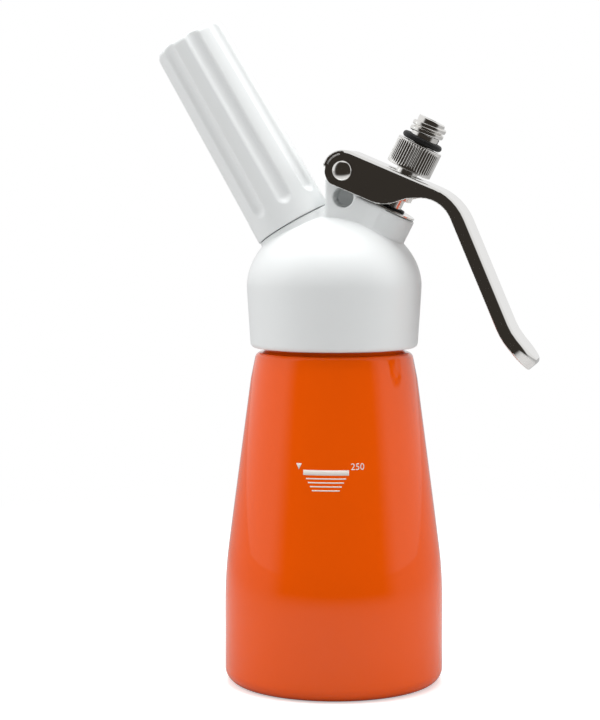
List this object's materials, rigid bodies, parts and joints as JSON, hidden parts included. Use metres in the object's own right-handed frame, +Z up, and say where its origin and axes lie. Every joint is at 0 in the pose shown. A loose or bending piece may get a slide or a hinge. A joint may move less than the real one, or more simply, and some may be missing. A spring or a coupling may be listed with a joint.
{
  "type": "whipped cream dispenser",
  "caption": "Quarter-litre gas whipped cream dispenser: drawn bottle, screwed plastic head, pressed sheet lever over a leaning valve stem with a tip adapter, and a fluted gas charger holder.",
  "frame": {"origin": "middle of the bottle's flat base, on the surface that it stands on", "axes": "+Z up along the bottle's axis, +X towards the lever and the valve, -X towards the charger holder, -Y to the front"},
  "size_m": [0.1293, 0.074, 0.2231],
  "materials": {
    "orange_enamel": "gloss",
    "white_plastic": "gloss",
    "chromed_steel": "polished",
    "nickel": "gloss",
    "black_rubber": "satin",
    "clear_silicone": "satin",
    "spring_steel": "satin"
  },
  "bodies": {
    "bottle": {"bottle": "orange_enamel"},
    "gasket": {"head_gasket": "clear_silicone"},
    "head": {"head_body": "white_plastic", "valve_sleeve": "nickel", "stem_seal_ring": "black_rubber", "wiper_ring": "black_rubber", "spring_plug": "nickel", "charger_stud": "nickel", "charger_seal": "black_rubber", "piercing_pin": "nickel", "stud_nut": "nickel", "gas_check_valve": "black_rubber", "lever_pin": "nickel"},
    "lever": {"lever": "chromed_steel"},
    "valve_stem": {"valve_stem": "nickel", "press_nut": "nickel", "valve_seal": "black_rubber", "valve_spring": "spring_steel"},
    "adapter_seal": {"adapter_seal_ring": "black_rubber"},
    "tip_adapter": {"tip_adapter": "nickel"},
    "holder_pad": {"charger_pad": "clear_silicone"},
    "charger_holder": {"charger_holder": "white_plastic", "holder_thread_ring": "nickel"}
  },
  "joints": [
    {"name": "head_lift", "type": "slide", "parent": "bottle", "child": "gasket", "axis": [0, 0, 1], "range_m": [0, 0.00525]},
    {"name": "head_turn", "type": "hinge", "parent": "gasket", "child": "head", "pos_m": [0, 0, 0.1138], "axis": [0, 0, 1], "range_deg": [0, 542]},
    {"name": "lever_press", "type": "hinge", "parent": "head", "child": "lever", "pos_m": [0.00478, 0, 0.17305], "axis": [0, 1, 0], "range_deg": [0, 8], "stiffness_Nm_per_rad": 0.5, "springref_deg": -6.88},
    {"name": "stem_travel", "type": "slide", "parent": "head", "child": "valve_stem", "axis": [-0.4478, 0, -0.8942], "range_m": [0, 0.0027]},
    {"name": "adapter_lift", "type": "slide", "parent": "valve_stem", "child": "adapter_seal", "axis": [0.4478, 0, 0.8942], "range_m": [0, 0.005]},
    {"name": "adapter_turn", "type": "hinge", "parent": "adapter_seal", "child": "tip_adapter", "pos_m": [0.01849, 0, 0.16023], "axis": [0.4478, 0, 0.8942], "range_deg": [0, 1805]},
    {"name": "holder_lift", "type": "slide", "parent": "head", "child": "holder_pad", "axis": [-0.5045, 0, 0.8634], "range_m": [0, 0.0075]},
    {"name": "holder_turn", "type": "hinge", "parent": "holder_pad", "child": "charger_holder", "pos_m": [-0.01388, 0, 0.15509], "axis": [-0.5045, 0, 0.8634], "range_deg": [0, 1805]}
  ],
  "couplings": [
    {"joint": "head_turn", "follows": "head_lift", "rad_per_m": 1795.2},
    {"joint": "stem_travel", "follows": "lever_press", "m_per_rad": 0.0192},
    {"joint": "adapter_turn", "follows": "adapter_lift", "rad_per_m": 6283.2},
    {"joint": "holder_turn", "follows": "holder_lift", "rad_per_m": 4188.8}
  ]
}
